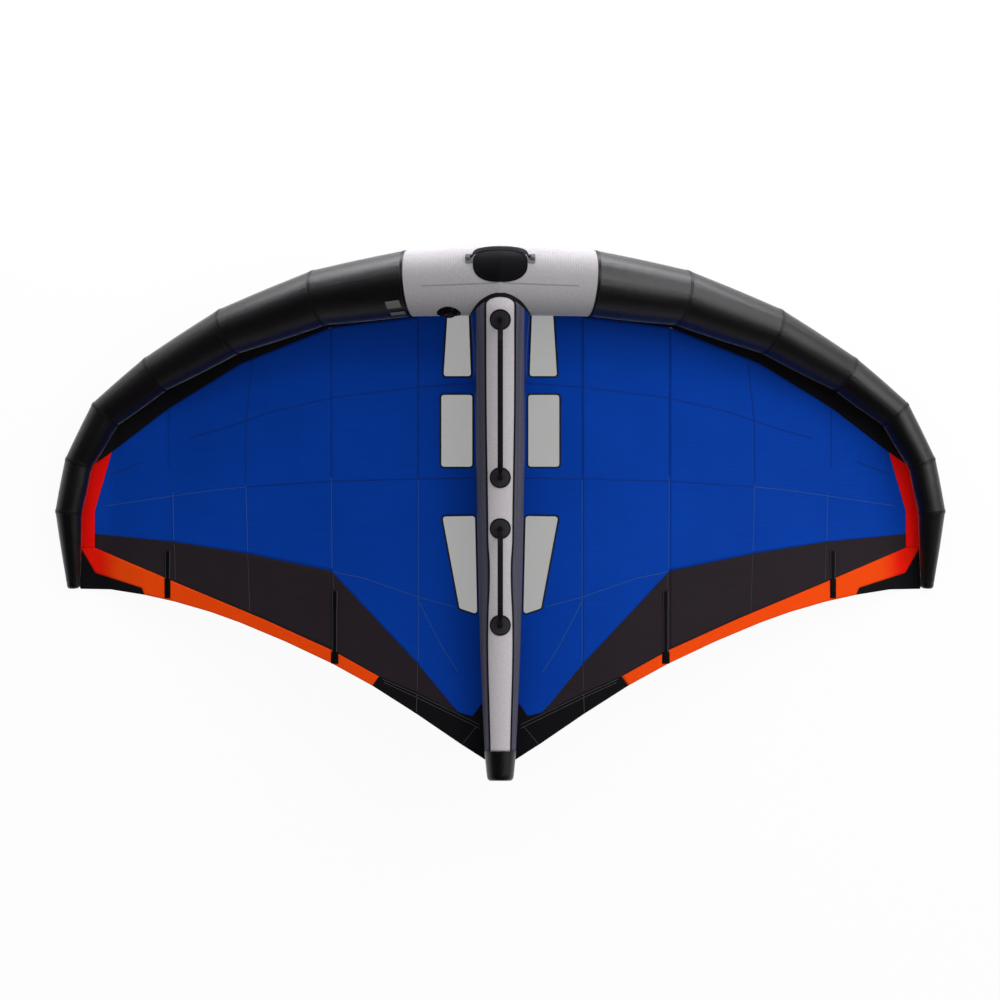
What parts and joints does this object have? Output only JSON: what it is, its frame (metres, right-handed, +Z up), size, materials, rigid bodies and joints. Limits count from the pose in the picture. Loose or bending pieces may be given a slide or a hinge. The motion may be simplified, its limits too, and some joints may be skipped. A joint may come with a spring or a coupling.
{
  "type": "wingfoil wing",
  "caption": "Inflatable hand-held wing with a leading edge tube, a centre strut with grips, a cloth canopy with clear windows, battens and an inflation valve.",
  "frame": {"origin": "under the middle of the wing, at the height of the lowest points of the two tips, which rest on the ground", "axes": "+X along the span, +Y towards the leading edge, +Z up, the side with the strut and the handles"},
  "size_m": [3.2458, 1.9501, 0.6661],
  "materials": {
    "black_cloth": "matte woven polyester",
    "grey_print_cloth": "pale printed woven polyester",
    "strut_cloth": "dark grey woven polyester",
    "blue_cloth": "coated ripstop",
    "charcoal_cloth": "coated ripstop",
    "orange_cloth": "coated ripstop",
    "red_cloth": "coated ripstop",
    "window_film": "clear film",
    "bladder_film": "clear film",
    "grip_foam": "foam in a ribbed cloth cover",
    "patch_rubber": "matte rubber",
    "strap_webbing": "webbing",
    "tab_cloth": "folded webbing",
    "valve_plastic": "moulded",
    "batten_plastic": "pultruded strip"
  },
  "bodies": {
    "wing": {"batten_inner_left": "batten_plastic", "batten_inner_right": "batten_plastic", "batten_outer_left": "batten_plastic", "batten_outer_right": "batten_plastic", "batten_pocket_inner_left": "black_cloth", "batten_pocket_inner_right": "black_cloth", "batten_pocket_outer_left": "black_cloth", "batten_pocket_outer_right": "black_cloth", "canopy_centre_panel": "blue_cloth", "canopy_front_strip_left": "black_cloth", "canopy_front_strip_right": "black_cloth", "canopy_inner_panel_left": "blue_cloth", "canopy_inner_panel_right": "blue_cloth", "canopy_outer_panel_left": "blue_cloth", "canopy_outer_panel_right": "blue_cloth", "front_handle_anchor_front": "patch_rubber", "front_handle_anchor_rear": "patch_rubber", "leading_edge_bladder": "bladder_film", "leading_edge_centre_sleeve": "grey_print_cloth", "leading_edge_sleeve_left_1": "black_cloth", "leading_edge_sleeve_left_2": "black_cloth", "leading_edge_sleeve_left_3": "black_cloth", "leading_edge_sleeve_left_4": "black_cloth", "leading_edge_sleeve_right_1": "black_cloth", "leading_edge_sleeve_right_2": "black_cloth", "leading_edge_sleeve_right_3": "black_cloth", "leading_edge_sleeve_right_4": "black_cloth", "leading_edge_tip_left": "black_cloth", "leading_edge_tip_right": "black_cloth", "nose_handle_pad": "patch_rubber", "nose_handle_tab_left": "tab_cloth", "nose_handle_tab_right": "tab_cloth", "rear_handle_anchor_front": "patch_rubber", "rear_handle_anchor_rear": "patch_rubber", "rear_panel_inner_left": "charcoal_cloth", "rear_panel_inner_right": "charcoal_cloth", "rear_panel_outer_left": "charcoal_cloth", "rear_panel_outer_right": "charcoal_cloth", "strut_bladder": "bladder_film", "strut_centre_strip": "grey_print_cloth", "strut_end_cap": "black_cloth", "strut_sleeve": "strut_cloth", "tip_band_left": "red_cloth", "tip_band_right": "red_cloth", "tip_corner_left": "black_cloth", "tip_corner_right": "black_cloth", "trailing_edge_band_left": "orange_cloth", "trailing_edge_band_right": "orange_cloth", "trailing_edge_chevron": "black_cloth", "valve_base": "valve_plastic", "window_lower_left": "window_film", "window_lower_right": "window_film", "window_middle_left": "window_film", "window_middle_right": "window_film", "window_upper_left": "window_film", "window_upper_right": "window_film"},
    "front_grip": {"front_handle": "grip_foam"},
    "rear_grip": {"rear_handle": "grip_foam"},
    "nose_strap": {"nose_handle": "strap_webbing"},
    "cap": {"valve_cap": "valve_plastic"}
  },
  "joints": [
    {"name": "front_grip_swing", "type": "hinge", "parent": "wing", "child": "front_grip", "pos_m": [0, 0.70005, 0.61043], "axis": [0, -0.9806, -0.1959], "range_deg": [-75, 75]},
    {"name": "rear_grip_swing", "type": "hinge", "parent": "wing", "child": "rear_grip", "pos_m": [0, -0.0585, 0.48752], "axis": [0, -0.9999, 0.0129], "range_deg": [-75, 75]},
    {"name": "nose_strap_swing", "type": "hinge", "parent": "wing", "child": "nose_strap", "pos_m": [0, 0.92901, 0.58528], "axis": [1, 0, 0], "range_deg": [-55, 60]},
    {"name": "valve_cap_hinge", "type": "hinge", "parent": "wing", "child": "cap", "pos_m": [-0.1615, 0.71683, 0.51903], "axis": [0, 0.3746, 0.9272], "range_deg": [0, 110]}
  ]
}
